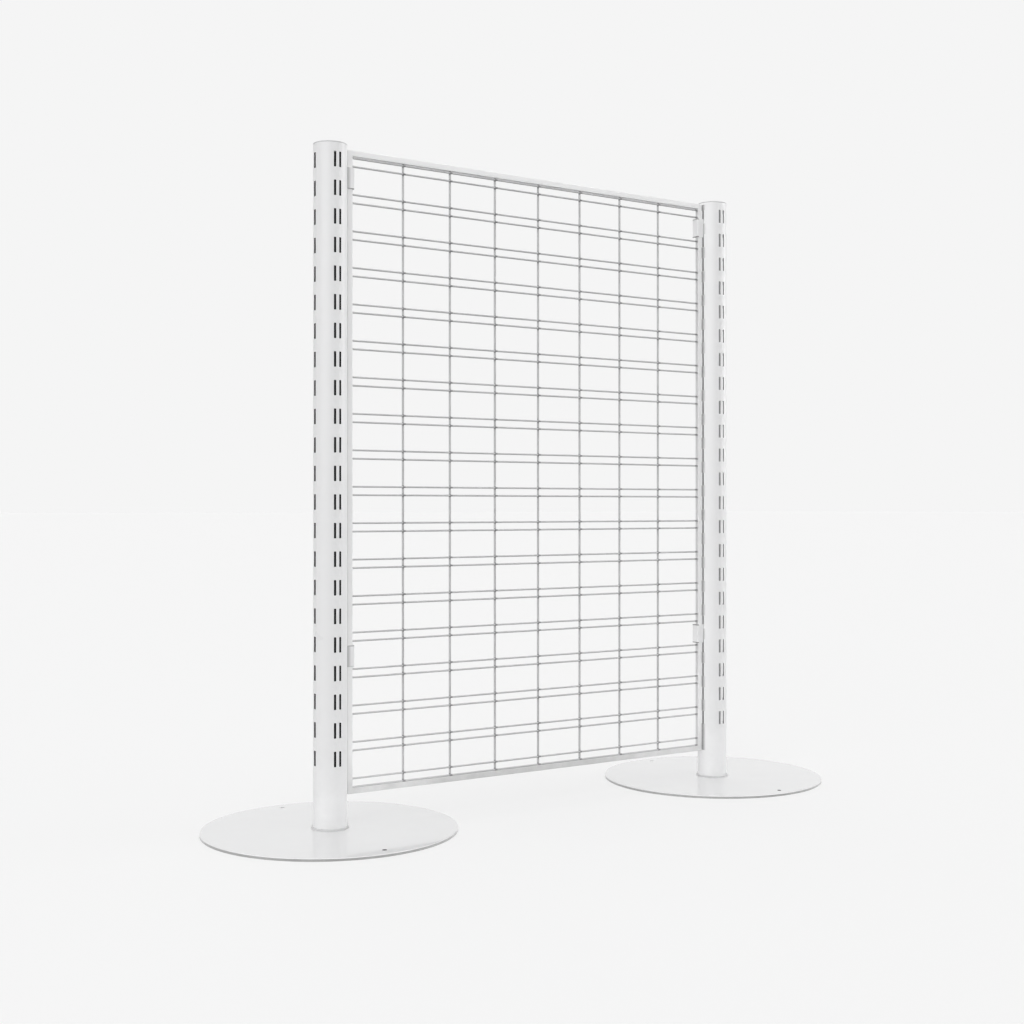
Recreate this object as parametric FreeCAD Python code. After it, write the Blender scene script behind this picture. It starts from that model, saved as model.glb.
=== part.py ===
"""Free-standing mesh panel: two slotted round posts on round floor plates, a framed wire mesh between.

Millimetres. The origin lies on the floor midway between the posts, +X runs along the panel,
-Y faces the viewer and +Z points up.
"""
import FreeCAD, Part
import math
import os

# Floor plates
PLATE_D = 452.0
PLATE_T = 5.0
PLATE_EDGE = 1.0
BOLT_HOLE_D = 8.0
BOLT_INSET = 26.0
FOOT_WELD = 3.0

# Posts
POST_PITCH = 895.0
POST_D = 60.0
POST_WALL = 2.0
POST_ABOVE_PANEL = 3.0

# Post caps
CAP_T = 2.5
CAP_EDGE = 0.8
CAP_PLUG_H = 4.0
CAP_FIT = 0.1

# Hook slots, in twin columns front, back and towards the panel and one column outside,
# each column on a narrow flat of the tube
SLOT_W = 4.0
OUTER_SLOT_W = 6.4
SLOT_H = 27.0
SLOT_PITCH = 50.0
SLOT_FLAT_MARGIN = 0.3
SLOT_TOP = 16.0
SLOT_FOOT = 100.0

# Panel frame, mitred rectangular tube
FRAME_FACE = 10.5
FRAME_DEPTH = 8.5
FRAME_WALL = 1.2
FRAME_EDGE = 0.8
FRAME_CORNER = 3.0
PANEL_FOOT = 55.0
PANEL_POST_GAP = 2.2

# Wire mesh, horizontal wires in pairs in front of single upright wires
WIRE = 3.2
UPRIGHT_WIRE = 3.8
UPRIGHT_Y = 0.5
WIRE_BITE = 0.5
UPRIGHTS = 7
UPRIGHT_PITCH = 100.0
PAIRS = 18
PAIR_PITCH = 65.0
PAIR_GAP = 15.0
MESH_TOP_GAP = 1.8

# Hook brackets, folded sheet clipped round the stiles
BRACKET_T = 1.5
BRACKET_H = 38.0
BRACKET_ABOVE_SEAT = 8.5
BRACKET_POST_FIT = 0.3
BRACKET_FOLD = 0.9
BRACKET_STILE_FIT = 1.0
BRACKET_LIP = 5.0
HOOK_T = 3.0
HOOK_DROP = 8.0
LOWER_BRACKET_ROWS_UP = 4

# Derived sizes
SIDES = {"left": -1, "right": 1}
POST_X = POST_PITCH / 2
POST_R = POST_D / 2
BORE_R = POST_R - POST_WALL
PANEL_HALF_W = POST_X - POST_R - PANEL_POST_GAP
INNER_HALF_W = PANEL_HALF_W - FRAME_FACE
MESH_SPAN = (PAIRS - 1) * PAIR_PITCH + PAIR_GAP
PANEL_Z0 = PLATE_T + PANEL_FOOT
INNER_Z0 = PANEL_Z0 + FRAME_FACE
INNER_Z1 = INNER_Z0 + MESH_SPAN + WIRE + MESH_TOP_GAP
PANEL_Z1 = INNER_Z1 + FRAME_FACE
TUBE_Z1 = PANEL_Z1 + POST_ABOVE_PANEL
SLOT_OFFSET = (FRAME_DEPTH + BRACKET_T) / 2
SLOT_Z1 = TUBE_Z1 - SLOT_TOP
SLOT_ROWS = int((SLOT_Z1 - SLOT_H - PLATE_T - SLOT_FOOT) // SLOT_PITCH) + 1
WIRE_Y = UPRIGHT_Y - (WIRE + UPRIGHT_WIRE) / 2 + WIRE_BITE


def block(x0, x1, y0, y1, z0, z1):
    """A box between two corners."""
    corner = FreeCAD.Vector(x0, y0, z0)
    return Part.makeBox(x1 - x0, y1 - y0, z1 - z0, corner)


def upright_cylinder(x, y, z0, z1, radius):
    """A cylinder standing along Z."""
    return Part.makeCylinder(radius, z1 - z0, FreeCAD.Vector(x, y, z0))


def xz_prism(points, y0, y1):
    """A polygon of (x, z) points drawn through a depth along Y."""
    outline = [FreeCAD.Vector(x, y0, z) for x, z in points]
    face = Part.Face(Part.makePolygon(outline + outline[:1]))
    return face.extrude(FreeCAD.Vector(0, y1 - y0, 0))


def turned(x, section):
    """A section of (radius, z) points turned about a post's axis."""
    outline = [FreeCAD.Vector(x + r, 0, z) for r, z in section]
    face = Part.Face(Part.makePolygon(outline + outline[:1]))
    return face.revolve(FreeCAD.Vector(x, 0, 0), FreeCAD.Vector(0, 0, 1), 360)


def long_edges(shape, axis, length):
    """The straight edges that run the whole length of a bar."""
    size = {"X": "XLength", "Z": "ZLength"}[axis]
    return [e for e in shape.Edges if abs(getattr(e.BoundBox, size) - length) < 1e-6]


def slot_top(row):
    """Height of the top of a slot row, counted down from the first."""
    return SLOT_Z1 - row * SLOT_PITCH


def wire_heights():
    """Centre heights of the horizontal wires, pair by pair from the bottom."""
    first = INNER_Z0 + WIRE / 2
    return [first + pair * PAIR_PITCH + extra for pair in range(PAIRS) for extra in (0.0, PAIR_GAP)]


def floor_plate(x):
    """Round plate with a broken top edge, the weld bead round the post, and a bolt hole before and behind it."""
    rim_r = PLATE_D / 2
    section = [(0, 0), (rim_r, 0), (rim_r, PLATE_T - PLATE_EDGE), (rim_r - PLATE_EDGE, PLATE_T),
               (POST_R + FOOT_WELD, PLATE_T), (POST_R, PLATE_T + FOOT_WELD), (POST_R, PLATE_T), (0, PLATE_T)]
    reach = rim_r - BOLT_INSET
    return turned(x, section).cut([upright_cylinder(x, y, -1, PLATE_T + 1, BOLT_HOLE_D / 2) for y in (-reach, reach)])


def slot_columns(side):
    """Direction in degrees, sideways offset and width of each slot column, anticlockwise from +X."""
    outside = 180 if side < 0 else 0
    columns = []
    for turn in (0, 90, 180, 270):
        if turn == outside:
            columns.append((turn, 0.0, OUTER_SLOT_W))
        else:
            columns += [(turn, offset, SLOT_W) for offset in (-SLOT_OFFSET, SLOT_OFFSET)]
    return columns


def tube_profile(side, radius):
    """Circle about a post's axis with a narrow flat at each slot column."""
    flats = []
    for turn, offset, width in slot_columns(side):
        half = width / 2 + SLOT_FLAT_MARGIN
        start = math.radians(turn) + math.asin((offset - half) / radius)
        end = math.radians(turn) + math.asin((offset + half) / radius)
        flats.append((start, end))

    def point(angle):
        return FreeCAD.Vector(side * POST_X + radius * math.cos(angle), radius * math.sin(angle), PLATE_T)

    edges = []
    for index, (start, end) in enumerate(flats):
        following = flats[(index + 1) % len(flats)][0] + 2 * math.pi * ((index + 1) // len(flats))
        edges.append(Part.makeLine(point(start), point(end)))
        edges.append(Part.Arc(point(end), point((end + following) / 2), point(following)).toShape())
    return Part.Face(Part.Wire(edges))


def slotted_post(side):
    """Round tube with columns of hook slots punched through its wall."""
    height = FreeCAD.Vector(0, 0, TUBE_Z1 - PLATE_T)
    tube = tube_profile(side, POST_R).cut(tube_profile(side, BORE_R)).Faces[0].extrude(height)
    x = side * POST_X
    slots = []
    for row in range(SLOT_ROWS):
        z1 = slot_top(row)
        for turn, offset, width in slot_columns(side):
            y0 = offset - width / 2
            slot = block(x + BORE_R / 2, x + POST_R + 1, y0, y0 + width, z1 - SLOT_H, z1)
            slot.rotate(FreeCAD.Vector(x, 0, 0), FreeCAD.Vector(0, 0, 1), turn)
            slots.append(slot)
    return tube.cut(slots)


def post_cap(x):
    """Stepped disc that closes the top of a post and sits down into the tube."""
    widest_flat = max(SLOT_W, OUTER_SLOT_W) / 2 + SLOT_FLAT_MARGIN
    plug_r = math.sqrt(BORE_R ** 2 - widest_flat ** 2) - CAP_FIT
    top_z = TUBE_Z1 + CAP_T
    section = [(0, TUBE_Z1 - CAP_PLUG_H), (plug_r, TUBE_Z1 - CAP_PLUG_H), (plug_r, TUBE_Z1), (POST_R, TUBE_Z1),
               (POST_R, top_z - CAP_EDGE), (POST_R - CAP_EDGE, top_z), (0, top_z)]
    return turned(x, section)


def frame_outline():
    """The panel seen from the front, as a plate with rounded corners."""
    plate = block(-PANEL_HALF_W, PANEL_HALF_W, -FRAME_DEPTH, FRAME_DEPTH, PANEL_Z0, PANEL_Z1)
    corners = [e for e in plate.Edges if abs(e.BoundBox.YLength - 2 * FRAME_DEPTH) < 1e-6]
    return plate.makeFillet(FRAME_CORNER, corners)


def rail(outer_z, inner_z):
    """Horizontal frame tube, mitred at both ends; outer_z is the edge away from the mesh."""
    z0 = min(outer_z, inner_z)
    z1 = max(outer_z, inner_z)
    half = FRAME_DEPTH / 2
    tube = block(-PANEL_HALF_W, PANEL_HALF_W, -half, half, z0, z1)
    tube = tube.makeChamfer(FRAME_EDGE, long_edges(tube, "X", 2 * PANEL_HALF_W))
    inset = half - FRAME_WALL
    tube = tube.cut(block(-POST_X, POST_X, -inset, inset, z0 + FRAME_WALL, z1 - FRAME_WALL))
    mitre = [(-PANEL_HALF_W, outer_z), (PANEL_HALF_W, outer_z), (INNER_HALF_W, inner_z), (-INNER_HALF_W, inner_z)]
    return tube.common(xz_prism(mitre, -FRAME_DEPTH, FRAME_DEPTH)).common(frame_outline())


def stile(side):
    """Upright frame tube, mitred at both ends, beside the post on one side."""
    outer_x = side * PANEL_HALF_W
    inner_x = side * INNER_HALF_W
    x0 = min(outer_x, inner_x)
    x1 = max(outer_x, inner_x)
    half = FRAME_DEPTH / 2
    tube = block(x0, x1, -half, half, PANEL_Z0, PANEL_Z1)
    tube = tube.makeChamfer(FRAME_EDGE, long_edges(tube, "Z", PANEL_Z1 - PANEL_Z0))
    inset = half - FRAME_WALL
    tube = tube.cut(block(x0 + FRAME_WALL, x1 - FRAME_WALL, -inset, inset, PANEL_Z0 - 1, PANEL_Z1 + 1))
    mitre = [(outer_x, PANEL_Z0), (outer_x, PANEL_Z1), (inner_x, INNER_Z1), (inner_x, INNER_Z0)]
    return tube.common(xz_prism(mitre, -FRAME_DEPTH, FRAME_DEPTH)).common(frame_outline())


def wire_mesh():
    """Pairs of horizontal wires welded across the front of the upright wires."""
    bars = []
    half = WIRE / 2
    for z in wire_heights():
        bars.append(block(-INNER_HALF_W, INNER_HALF_W, WIRE_Y - half, WIRE_Y + half, z - half, z + half))
    half = UPRIGHT_WIRE / 2
    for index in range(UPRIGHTS):
        x = (index - (UPRIGHTS - 1) / 2) * UPRIGHT_PITCH
        bars.append(block(x - half, x + half, UPRIGHT_Y - half, UPRIGHT_Y + half, INNER_Z0, INNER_Z1))
    return bars[0].multiFuse(bars[1:]).removeSplitter()


def bracket(side, row):
    """Sheet clip folded round a stile, with a lip behind it and two hooks dropped into a pair of post slots."""
    seat_z = slot_top(row) - SLOT_H
    top_z = seat_z + BRACKET_ABOVE_SEAT
    foot_z = top_z - BRACKET_H
    web_x = INNER_HALF_W - BRACKET_STILE_FIT
    fold_x = web_x - BRACKET_T
    slot_far = SLOT_OFFSET + BRACKET_T / 2
    slot_near = SLOT_OFFSET - BRACKET_T / 2
    face_x = POST_X - math.sqrt(POST_R ** 2 - slot_near ** 2) - BRACKET_POST_FIT
    throat_x = POST_X - math.sqrt(BORE_R ** 2 - slot_far ** 2) + BRACKET_POST_FIT
    tip_x = throat_x + HOOK_T
    cheek = [(fold_x, foot_z), (face_x, foot_z), (face_x, seat_z), (throat_x, seat_z),
             (throat_x, seat_z - HOOK_DROP), (tip_x, seat_z - HOOK_DROP), (tip_x, top_z), (fold_x, top_z)]
    clip = block(fold_x, web_x, -slot_far, slot_far + BRACKET_LIP, foot_z, top_z)
    clip = clip.multiFuse([xz_prism(cheek, slot_near, slot_far), xz_prism(cheek, -slot_far, -slot_near)])
    clip = clip.removeSplitter()
    folds = [e for e in long_edges(clip, "Z", BRACKET_H) if abs(e.BoundBox.XMin - fold_x) < 1e-6]
    clip = clip.makeChamfer(BRACKET_FOLD, folds)
    if side < 0:
        clip = clip.mirror(FreeCAD.Vector(0, 0, 0), FreeCAD.Vector(1, 0, 0))
    return clip


def build_nodes():
    """Every piece of the assembly by name."""
    nodes = {}
    for name, side in SIDES.items():
        x = side * POST_X
        nodes[name + "_floor_plate"] = floor_plate(x)
        nodes[name + "_post"] = slotted_post(side)
        nodes[name + "_post_cap"] = post_cap(x)
        nodes[name + "_stile"] = stile(side)
        nodes["upper_" + name + "_bracket"] = bracket(side, 0)
        nodes["lower_" + name + "_bracket"] = bracket(side, SLOT_ROWS - 1 - LOWER_BRACKET_ROWS_UP)
    nodes["top_rail"] = rail(PANEL_Z1, INNER_Z1)
    nodes["bottom_rail"] = rail(PANEL_Z0, INNER_Z0)
    nodes["wire_mesh"] = wire_mesh()
    return nodes


os.makedirs("parts", exist_ok=True)
for node, shape in build_nodes().items():
    shape.exportStep("parts/" + node + ".step")
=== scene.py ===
"""Looks of the free-standing mesh panel: posts, wire mesh, frame, plates, studio and camera.

Metres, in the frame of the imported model: the floor is z = 0, the panel runs along X and -Y faces
the viewer.
"""
import logging
import math
from dataclasses import dataclass, fields
from enum import Enum, IntEnum
from typing import Any, ClassVar, Sequence

import bmesh
import bpy
from bmesh.types import BMesh, BMVert
from bpy.types import Material, Mesh, Node, NodeTree, Object, World
from bpy.types import NodeSocket as Socket
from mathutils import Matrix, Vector
from mathutils.geometry import delaunay_2d_cdt


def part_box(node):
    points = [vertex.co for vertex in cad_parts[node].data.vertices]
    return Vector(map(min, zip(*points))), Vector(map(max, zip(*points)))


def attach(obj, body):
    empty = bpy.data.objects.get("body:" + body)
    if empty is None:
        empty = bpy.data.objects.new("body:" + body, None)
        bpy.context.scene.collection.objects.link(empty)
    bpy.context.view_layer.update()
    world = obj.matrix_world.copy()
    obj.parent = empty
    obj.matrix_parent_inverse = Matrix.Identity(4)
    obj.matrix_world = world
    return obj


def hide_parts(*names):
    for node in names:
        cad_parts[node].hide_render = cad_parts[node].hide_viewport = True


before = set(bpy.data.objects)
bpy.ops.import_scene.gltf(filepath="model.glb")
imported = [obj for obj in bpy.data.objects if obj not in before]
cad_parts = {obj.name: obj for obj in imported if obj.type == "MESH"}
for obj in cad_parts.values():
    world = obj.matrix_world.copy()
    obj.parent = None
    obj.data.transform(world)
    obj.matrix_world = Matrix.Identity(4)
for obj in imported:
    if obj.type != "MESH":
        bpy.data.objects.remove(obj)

LOG = logging.getLogger("mesh_panel")
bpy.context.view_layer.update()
BODY = "root"
CREASE = math.radians(32.0)  # turn from which an edge stays sharp

Sockets = bpy.types.bpy_prop_collection
Point = tuple[float, float]
Triple = tuple[float, float, float]


class Side(Enum):
    """The two ends of the panel."""

    LEFT = -1
    RIGHT = 1

    @property
    def word(self) -> str:
        """The side's name in lower case."""
        return self.name.lower()

    @property
    def outer_quarter(self) -> int:
        """Quarter turns from +X to the side of a post that looks away from the panel."""
        return 2 if self is Side.LEFT else 0


class Slot(Enum):
    """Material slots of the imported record."""

    PLATE = "plate_paint"
    POST = "post_paint"
    CAP = "cap_plastic"
    FRAME = "frame_paint"
    WIRE = "wire_paint"


class PostFace(IntEnum):
    """Kinds of face on a punched post."""

    COAT = 0
    BORE = 1
    CUT_EDGE = 2


class MeshFace(IntEnum):
    """Kinds of face on the wire mesh."""

    WIRE = 0
    UPRIGHT = 1
    WELD = 2


def socket_kind(value: Any) -> str:
    """Type name of the socket that carries a value."""
    kinds = {float: "Float", int: "Int", Object: "Object", Material: "Material"}
    return "NodeSocket" + next(kind for kin, kind in kinds.items() if isinstance(value, kin))


def socket_values(record: Any) -> dict[str, Any]:
    """Values of a dataclass by the names of the sockets that carry them."""
    names = [field.name for field in fields(record)]
    return {name.replace("_", " ").title(): getattr(record, name) for name in names}


class TreeWriter:
    """Adds nodes and links to one node tree."""

    def __init__(self, tree: NodeTree) -> None:
        """Keeps the tree that is written to."""
        self.tree = tree

    def add(self, kind: str, inputs: dict[Any, Any] | None = None, **settings: Any) -> Node:
        """Adds a node.

        Args:
            kind: the node's type name.
            inputs: value or source socket for each input, by name or index.
            settings: properties of the node itself.

        Returns:
            The new node.
        """
        node = self.tree.nodes.new(kind)
        for name, value in settings.items():
            setattr(node, name, value)
        for key, value in (inputs or {}).items():
            if isinstance(value, Socket):
                self.tree.links.new(value, node.inputs[key])
            else:
                node.inputs[key].default_value = value
        return node

    def out(self, *node: Any, **settings: Any) -> Socket:
        """Adds a node and returns its first output."""
        return self.add(*node, **settings).outputs[0]

    def math(self, operation: str, first: Any, second: Any = 0.0, clamp: bool = False) -> Socket:
        """Adds a Math node and returns its result."""
        settings = {"operation": operation, "use_clamp": clamp}
        return self.out("ShaderNodeMath", {0: first, 1: second}, **settings)

    def product(self, *factors: Any, clamp: bool = False) -> Socket:
        """Multiplies values and sockets; the last product can be clamped."""
        result, *others = factors
        for left, factor in zip(range(len(others), 0, -1), others):
            result = self.math("MULTIPLY", result, factor, clamp and left == 1)
        return result

    def vector(self, x: Any = 0.0, y: Any = 0.0, z: Any = 0.0) -> Socket:
        """Combines three values or sockets."""
        return self.out("ShaderNodeCombineXYZ", {0: x, 1: y, 2: z})


class ShaderWriter(TreeWriter):
    """Writes the nodes of a material, a world or a shader group."""

    @classmethod
    def of(cls, owner: Material | World) -> "ShaderWriter":
        """Empties the node tree of a material or world and returns its writer."""
        owner.use_nodes = True
        owner.node_tree.nodes.clear()
        return cls(owner.node_tree)

    @classmethod
    def group(cls, name: str, inputs: dict[str, float], outputs: Sequence[str]) -> "ShaderWriter":
        """Opens a shader group, in which a socket named Color holds a colour, others a number.

        Args:
            name: the group's name.
            inputs: default of each number, by its name.
            outputs: names of the outputs; a colour that goes out also comes in.

        Returns:
            The group's writer.
        """
        tree = bpy.data.node_groups.new(name, "ShaderNodeTree")
        for label in outputs:
            if label == "Color":
                for way in ("INPUT", "OUTPUT"):
                    tree.interface.new_socket(label, in_out=way, socket_type="NodeSocketColor")
            else:
                tree.interface.new_socket(label, in_out="OUTPUT", socket_type="NodeSocketFloat")
        for label, default in inputs.items():
            socket = tree.interface.new_socket(label, in_out="INPUT", socket_type="NodeSocketFloat")
            socket.default_value = default
        return cls(tree)

    def where(self) -> Socket:
        """Object coordinates."""
        return self.add("ShaderNodeTexCoord").outputs["Object"]

    def split(self, vector: Socket) -> Sockets:
        """The X, Y and Z of a vector."""
        return self.add("ShaderNodeSeparateXYZ", {0: vector}).outputs

    def ramp(self, value: Socket, ends: Sequence[Any], levels: Sequence[Any] = (0.0, 1.0),
             smooth: bool = False) -> Socket:
        """Turns a value that runs between two ends into one that runs between two levels."""
        inputs = dict(enumerate((value, *ends, *levels)))
        kind = "SMOOTHSTEP" if smooth else "LINEAR"
        return self.out("ShaderNodeMapRange", inputs, interpolation_type=kind)

    def noise(self, where: Socket, scale: Any, detail: float, rough: float = 0.5) -> Socket:
        """Adds a noise texture and returns its value."""
        inputs = {"Vector": where, "Scale": scale, "Detail": detail, "Roughness": rough}
        return self.out("ShaderNodeTexNoise", inputs)

    def seen(self) -> Socket:
        """One for rays that show a surface to the viewer, straight, mirrored or through glass."""
        rays = self.add("ShaderNodeLightPath").outputs
        direct = self.math("MAXIMUM", rays["Is Camera Ray"], rays["Is Glossy Ray"])
        return self.math("MAXIMUM", direct, rays["Is Transmission Ray"])


class GeometryWriter(TreeWriter):
    """Writes a geometry tree with a named input for each value that it is built for."""

    def __init__(self, name: str, values: dict[str, Any]) -> None:
        """Opens the tree and declares its sockets."""
        super().__init__(bpy.data.node_groups.new(name, "GeometryNodeTree"))
        new_socket = self.tree.interface.new_socket
        for label, value in values.items():
            new_socket(label, in_out="INPUT", socket_type=socket_kind(value))
        new_socket("Geometry", in_out="OUTPUT", socket_type="NodeSocketGeometry")
        self.given = self.add("NodeGroupInput").outputs

    def line(self, count: Any, start: Any, step: Any) -> Socket:
        """Row of points."""
        inputs = {"Count": count, "Start Location": start, "Offset": step}
        return self.out("GeometryNodeMeshLine", inputs)

    def ball(self, radius: Socket) -> Socket:
        """Smooth ball of a few faces."""
        ball = self.out("GeometryNodeMeshIcoSphere", {"Radius": radius, "Subdivisions": 2})
        return self.out("GeometryNodeSetShadeSmooth", {0: ball})

    def ring(self, points: Any, radius: Socket) -> Socket:
        """Circle of straight steps."""
        inputs = {"Resolution": points, "Radius": radius}
        return self.out("GeometryNodeCurvePrimitiveCircle", inputs)

    def copies(self, points: Socket, piece: Socket, **more: Any) -> Socket:
        """Sets a copy of a piece on every point."""
        inputs = {"Points": points, "Instance": piece, **more}
        return self.out("GeometryNodeInstanceOnPoints", inputs)

    def transform(self, geometry: Socket, **change: Any) -> Socket:
        """Moves or scales a branch."""
        return self.out("GeometryNodeTransform", {"Geometry": geometry, **change})

    def merge(self, *parts: Socket) -> Socket:
        """Joins branches."""
        node = self.add("GeometryNodeJoinGeometry")
        for part in parts:
            self.tree.links.new(part, node.inputs[0])
        return node.outputs[0]

    def compare(self, operation: str, first: Socket, second: Any) -> Socket:
        """Compares whole numbers."""
        settings = {"data_type": "INT", "operation": operation}
        return self.out("FunctionNodeCompare", {2: first, 3: second}, **settings)

    def real(self, geometry: Socket) -> Socket:
        """Turns copies into faces."""
        return self.out("GeometryNodeRealizeInstances", {0: geometry})

    def close(self, geometry: Socket, finishes: Sequence[str], mark: str = "") -> NodeTree:
        """Ends the tree with its finishes.

        Args:
            geometry: the realized geometry.
            finishes: name of the material input for each number of the mark, from zero.
            mark: name of the whole-number attribute on the faces, if they differ.

        Returns:
            The finished tree.
        """
        for value, finish in enumerate(finishes):
            inputs = {"Geometry": geometry, "Material": self.given[finish]}
            if mark:
                found = self.add("GeometryNodeInputNamedAttribute", {"Name": mark}, data_type="INT")
                inputs["Selection"] = self.compare("EQUAL", found.outputs["Attribute"], value)
            geometry = self.out("GeometryNodeSetMaterial", inputs)
        self.add("NodeGroupOutput", {0: geometry})
        return self.tree


@dataclass(frozen=True)
class SurfaceEffect:
    """A shader group, built once; each placement gives it values of its own."""

    OUTPUTS: ClassVar[tuple[str, ...]]

    @classmethod
    def write(cls, w: ShaderWriter, given: Sockets) -> dict[str, Socket]:
        """Writes the group from its inputs and returns a source for each output."""
        raise NotImplementedError

    def lay(self, w: ShaderWriter, **more: Any) -> Sockets:
        """Adds the group to a material, with this effect's values.

        Args:
            w: writer of the material.
            more: value or source socket of the inputs that aren't fields.

        Returns:
            The group's outputs.
        """
        name, values = type(self).__name__, socket_values(self)
        if name not in bpy.data.node_groups:
            inside = ShaderWriter.group(name, values, self.OUTPUTS)
            given = inside.add("NodeGroupInput").outputs
            inside.add("NodeGroupOutput", self.write(inside, given))
        tree = bpy.data.node_groups[name]
        return w.add("ShaderNodeGroup", {**values, **more}, node_tree=tree).outputs


@dataclass(frozen=True)
class CoatPeel(SurfaceEffect):
    """Orange peel of a sprayed coat: fine rounded dimples over a slow swell."""

    OUTPUTS = ("Height",)
    SWELL_SCALE, SWELL_HEIGHT = 0.22, 0.8

    cell: float

    @classmethod
    def write(cls, w: ShaderWriter, given: Sockets) -> dict[str, Socket]:
        """Adds the swell to the dimples."""
        where = w.where()
        scale = w.math("DIVIDE", 1.0, given["Cell"])
        fine = w.noise(where, scale, detail=1.5, rough=0.45)
        slow = w.noise(where, w.product(scale, cls.SWELL_SCALE), detail=1.0)
        return {"Height": w.math("ADD", fine, w.product(slow, cls.SWELL_HEIGHT))}


@dataclass(frozen=True)
class CoatTone(SurfaceEffect):
    """Slow drift of tone and gloss over a coat, with pin-point specks."""

    OUTPUTS = ("Color", "Gloss")
    CLOUD_SCALE, GRAIN_SCALE = 9.0, 620.0
    TONE_GAIN, GLOSS_GAIN, SPECK_DULLING = 2.0, 0.16, 2.0

    drift: float
    roughness: float
    speck: float = 0.03

    @classmethod
    def write(cls, w: ShaderWriter, given: Sockets) -> dict[str, Socket]:
        """Lets clouds and specks change the colour and the roughness."""
        where = w.where()
        cloud = w.noise(where, cls.CLOUD_SCALE, detail=4.0, rough=0.6)
        centred = w.math("SUBTRACT", cloud, 0.5)
        grain = w.noise(where, cls.GRAIN_SCALE, detail=2.0)
        speck = w.product(w.ramp(grain, ends=(0.68, 0.8)), given["Speck"])
        drift = w.product(centred, given["Drift"], cls.TONE_GAIN)
        gain = w.math("SUBTRACT", w.math("ADD", 1.0, drift), speck)
        tone = w.out("ShaderNodeVectorMath", {0: given["Color"], "Scale": gain}, operation="SCALE")
        gloss = w.math("ADD", given["Roughness"], w.product(centred, cls.GLOSS_GAIN))
        return {"Color": tone, "Gloss": w.math("ADD", gloss, w.product(speck, cls.SPECK_DULLING))}


@dataclass(frozen=True)
class FloorScuff(SurfaceEffect):
    """Hairline scuffs in two directions, as shoes and trolleys leave on a floor plate."""

    OUTPUTS = ("Mask",)
    PATCH_SCALE = 11.0
    RUNS = ((0.5, (30.0, 900.0, 30.0)), (-0.9, (22.0, 760.0, 30.0)))

    amount: float

    @classmethod
    def write(cls, w: ShaderWriter, given: Sockets) -> dict[str, Socket]:
        """Draws both runs of hairlines, in patches."""
        where = w.where()
        lines = []
        for turn, squeeze in cls.RUNS:
            run = {"Vector": where, "Rotation": (0.0, 0.0, turn), "Scale": squeeze}
            hair = w.noise(w.out("ShaderNodeMapping", run), scale=1.0, detail=1.0)
            lines.append(w.ramp(hair, ends=(0.7, 0.8)))
        here = w.ramp(w.noise(where, cls.PATCH_SCALE, detail=2.0), ends=(0.5, 0.7))
        return {"Mask": w.product(w.math("MAXIMUM", *lines), here, given["Amount"], clamp=True)}


@dataclass(frozen=True)
class SurfaceMark(SurfaceEffect):
    """A tone over a coat, where the mark's mask says."""

    OUTPUTS = ("Color", "Mask")
    TONE: ClassVar[Triple]
    DULLING: ClassVar[float] = 0.0

    @staticmethod
    def mask(w: ShaderWriter, given: Sockets) -> Socket:
        """Writes the mask from the group's inputs."""
        raise NotImplementedError

    @classmethod
    def write(cls, w: ShaderWriter, given: Sockets) -> dict[str, Socket]:
        """Mixes the tone over the colour."""
        mask = cls.mask(w, given)
        layers = {"Factor": mask, 6: given["Color"], 7: (*cls.TONE, 1.0)}
        mixed = w.add("ShaderNodeMix", layers, data_type="RGBA")
        return {"Color": mixed.outputs[2], "Mask": mask}


@dataclass(frozen=True)
class FloorDust(SurfaceMark):
    """Darkening that thins out upwards, part dust and part painted shade: on the plates' rims it is
    painted contact shade, at the frame's foot painted shade near the floor.
    """

    # tone of the dust and of the painted shade
    TONE = (0.31, 0.31, 0.305)
    DULLING = 0.5

    amount: float
    reach: float  # height at which it ends
    solid: float = 0.0  # height up to which it is full

    @staticmethod
    def mask(w: ShaderWriter, given: Sockets) -> Socket:
        """Full below, ragged, and gone above."""
        where = w.where()
        low = w.ramp(w.split(where)["Z"], (given["Solid"], given["Reach"]), (1.0, 0.0))
        patches = w.noise(where, scale=26.0, detail=5.0, rough=0.65)
        ragged = w.ramp(patches, ends=(0.3, 0.75), levels=(0.6, 1.0))
        return w.product(low, ragged, given["Amount"], clamp=True)


@dataclass(frozen=True)
class WeldScorch(SurfaceMark):
    """Tint round the spot welds that follow each other at an even pitch along a wire."""

    TONE = (0.10, 0.10, 0.102)

    upright: float  # one for a wire along Z, zero for a wire along X
    start: float  # place of one weld
    pitch: float  # distance from weld to weld
    second: float = 0.0  # distance from each weld to its twin
    first: float = 0.0  # place of the first weld whose tint shows
    reach: float = 0.0042  # distance at which the tint ends

    @staticmethod
    def mask(w: ShaderWriter, given: Sockets) -> Socket:
        """Strongest at each weld, from the first one on."""
        place = w.split(w.where())
        ways = {"Factor": given["Upright"], 2: place["X"], 3: place["Z"]}
        along = w.out("ShaderNodeMix", ways)
        begun = w.math("GREATER_THAN", along, w.math("SUBTRACT", given["First"], given["Reach"]))
        along = w.math("SUBTRACT", along, given["Start"])
        half_pitch = w.product(given["Pitch"], 0.5)
        weld = w.math("PINGPONG", along, half_pitch)
        twin = w.math("PINGPONG", w.math("SUBTRACT", along, given["Second"]), half_pitch)
        away = w.math("DIVIDE", w.math("MINIMUM", weld, twin), given["Reach"])
        return w.product(w.ramp(away, ends=(0.45, 1.0), levels=(0.62, 0.0), smooth=True), begun)


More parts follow.
